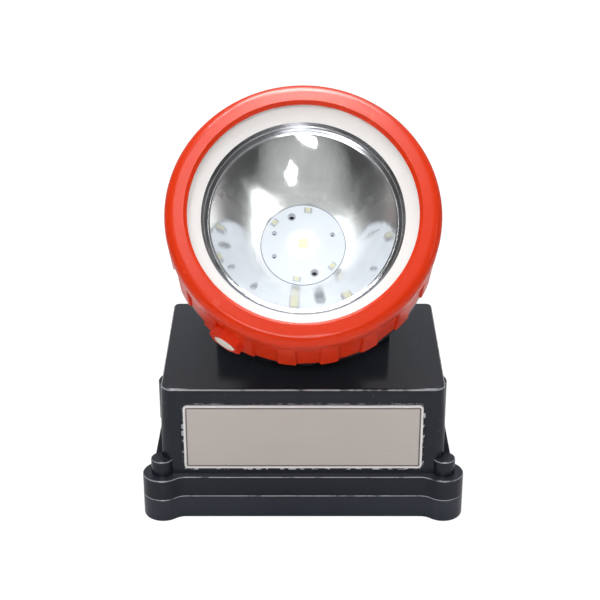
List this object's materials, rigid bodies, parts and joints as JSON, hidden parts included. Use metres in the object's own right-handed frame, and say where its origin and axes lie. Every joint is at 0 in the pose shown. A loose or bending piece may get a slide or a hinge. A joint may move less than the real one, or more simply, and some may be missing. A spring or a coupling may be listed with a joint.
{
  "type": "miner's cap lamp",
  "caption": "Cordless miner's cap lamp: a battery box with a hook for a helmet bracket, and a round red lamp head on a tilting hinge.",
  "frame": {"origin": "middle of the battery box's back face, the face that lies against the helmet or rests on a table", "axes": "+Z out of the back face towards the lamp head, +X to the right of someone facing the nameplate, -Y towards the nameplate"},
  "size_m": [0.0824, 0.0676, 0.1051],
  "materials": {
    "case_black": "fine-grained black moulding with a soft sheen",
    "cover_black": "fine-grained black moulding",
    "cover_seal_rubber": "matt black rubber",
    "cover_screw_steel": "plated steel",
    "hook_steel": "satin spring steel",
    "rivet_steel": "plated steel",
    "nameplate_silver": "brushed silver film, bare",
    "cell_wrap": "blue shrink wrap",
    "cradle_black": "black moulding",
    "pad_foam": "grey foam rubber",
    "tab_nickel": "nickel strip",
    "control_board_green": "green solder mask",
    "board_parts_black": "moulded chips and coil",
    "board_screw_steel": "plated steel",
    "contact_brass": "plated brass",
    "cell_lead_red": "red wire insulation",
    "charge_lead_yellow": "yellow wire insulation",
    "case_cable_black": "black cable sheath",
    "bush_steel": "turned stainless steel",
    "pin_steel": "turned stainless steel",
    "cap_black": "black moulding",
    "washer_nylon": "natural nylon",
    "hinge_seal_rubber": "black O-ring rubber",
    "bezel_red": "red moulding with a soft gloss",
    "lens_gasket_rubber": "black rubber",
    "lens_clear": "clear flat lens",
    "trim_white": "white moulding",
    "reflector_mirror": "vacuum-metallised, bright",
    "shell_red": "red moulding with a soft gloss",
    "button_cream": "cream moulding",
    "switch_seal_rubber": "black O-ring rubber",
    "plunger_black": "black moulding",
    "switch_black": "black moulding",
    "retainer_white": "natural nylon",
    "led_board_white": "white solder mask",
    "led_base_white": "white moulded base",
    "led_chip_yellow": "phosphor",
    "led_dome_clear": "clear silicone dome",
    "side_led_yellow": "white bodies with phosphor",
    "carrier_aluminium": "turned aluminium",
    "carrier_screw_steel": "plated steel",
    "housing_black": "fine-grained black moulding",
    "housing_seal_rubber": "black rubber",
    "housing_screw_steel": "plated steel",
    "head_cable_black": "black cable sheath",
    "switch_lead_white": "white wire insulation"
  },
  "bodies": {
    "case": {"battery_case": "case_black", "back_cover": "cover_black", "cover_seal": "cover_seal_rubber", "cover_screws": "cover_screw_steel", "helmet_hook": "hook_steel", "hook_rivets": "rivet_steel", "nameplate": "nameplate_silver", "battery_cell": "cell_wrap", "cell_cradle": "cradle_black", "cell_pads": "pad_foam", "cell_tabs": "tab_nickel", "control_board": "control_board_green", "board_parts": "board_parts_black", "board_screws": "board_screw_steel", "charge_contacts": "contact_brass", "cell_leads": "cell_lead_red", "charge_leads": "charge_lead_yellow", "case_cable": "case_cable_black", "pivot_bush": "bush_steel", "pivot_pin": "pin_steel", "pivot_caps": "cap_black", "friction_washers": "washer_nylon"},
    "head": {"rear_housing": "housing_black", "head_shell": "shell_red", "front_bezel": "bezel_red", "lens_gasket": "lens_gasket_rubber", "lens": "lens_clear", "trim_ring": "trim_white", "reflector": "reflector_mirror", "led_board": "led_board_white", "led_base": "led_base_white", "led_chip": "led_chip_yellow", "led_dome": "led_dome_clear", "side_leds": "side_led_yellow", "led_carrier": "carrier_aluminium", "carrier_screws": "carrier_screw_steel", "housing_seal": "housing_seal_rubber", "housing_screws": "housing_screw_steel", "head_cable": "head_cable_black", "switch_body": "switch_black", "switch_retainer": "retainer_white", "switch_leads": "switch_lead_white", "hinge_seals": "hinge_seal_rubber"},
    "button": {"switch_button": "button_cream", "switch_seal": "switch_seal_rubber", "switch_plunger": "plunger_black"}
  },
  "joints": [
    {"name": "head_tilt", "type": "hinge", "parent": "case", "child": "head", "pos_m": [0, 0.01015, 0.046], "axis": [-1, 0, 0], "range_deg": [-8, 47]},
    {"name": "switch_press", "type": "slide", "parent": "head", "child": "button", "axis": [0.5394, 0.5743, 0.6159], "range_m": [0, 0.0008], "stiffness_N_per_m": 900, "springref_m": -0.001}
  ]
}
